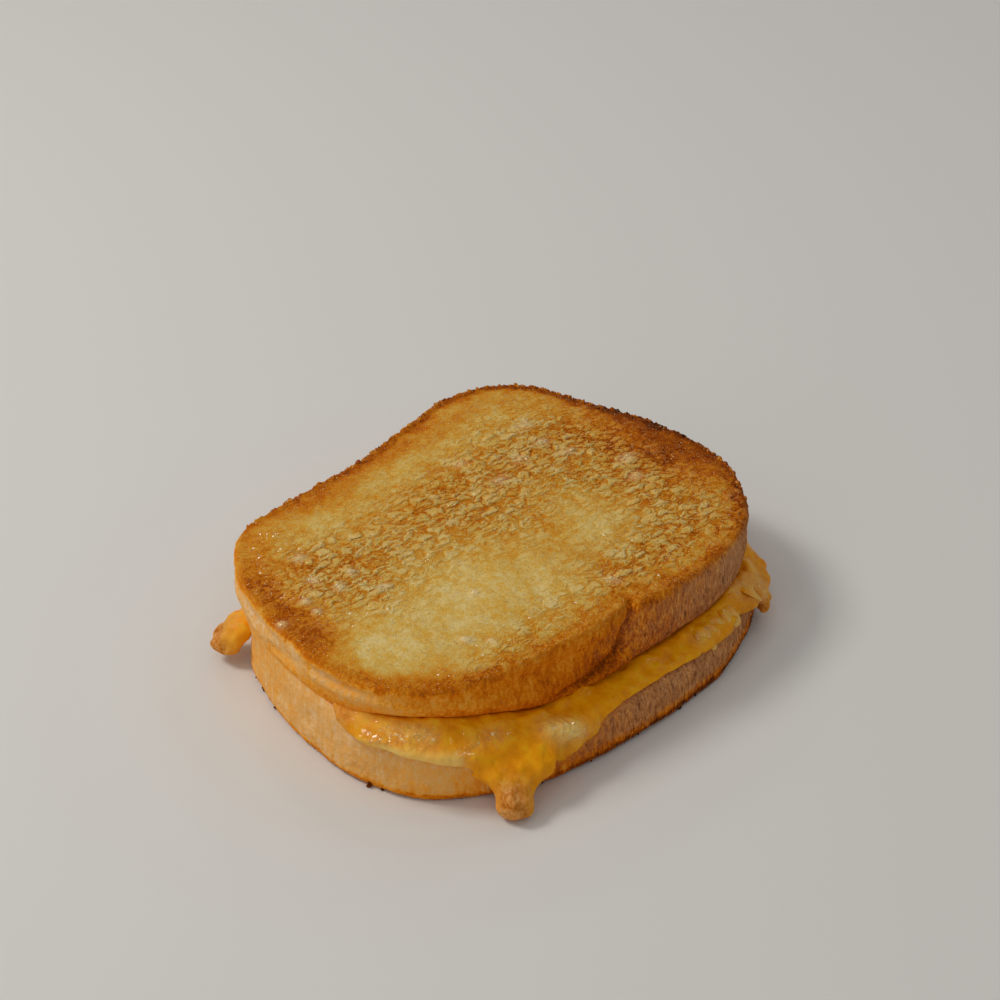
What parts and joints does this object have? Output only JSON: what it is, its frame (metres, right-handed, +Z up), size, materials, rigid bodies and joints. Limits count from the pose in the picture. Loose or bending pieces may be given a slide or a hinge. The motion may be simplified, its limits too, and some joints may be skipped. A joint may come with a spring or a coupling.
{
  "type": "grilled cheese sandwich",
  "caption": "Whole toasted sandwich of tin loaf slices, golden brown and buttery, with melted orange cheese squeezed out at the near side and run down to the table at a corner.",
  "frame": {"origin": "middle of the sandwich's bounding box, on the surface it lies on", "axes": "+Y towards the loaf's domed crown, +X across the slices towards the side where the lower slice and the cheese stand out, +Z up"},
  "size_m": [0.1082, 0.1338, 0.0313],
  "materials": {
    "toasted_bread": "bread fried in butter, pale yellow to dark brown, with a thin greasy gloss",
    "melted_cheese": "melted processed cheese, glossy orange yellow, toasted where it touched the pan"
  },
  "bodies": {
    "root": {"bread_bottom": "toasted_bread", "cheese": "melted_cheese", "bread_top": "toasted_bread"}
  },
  "joints": []
}
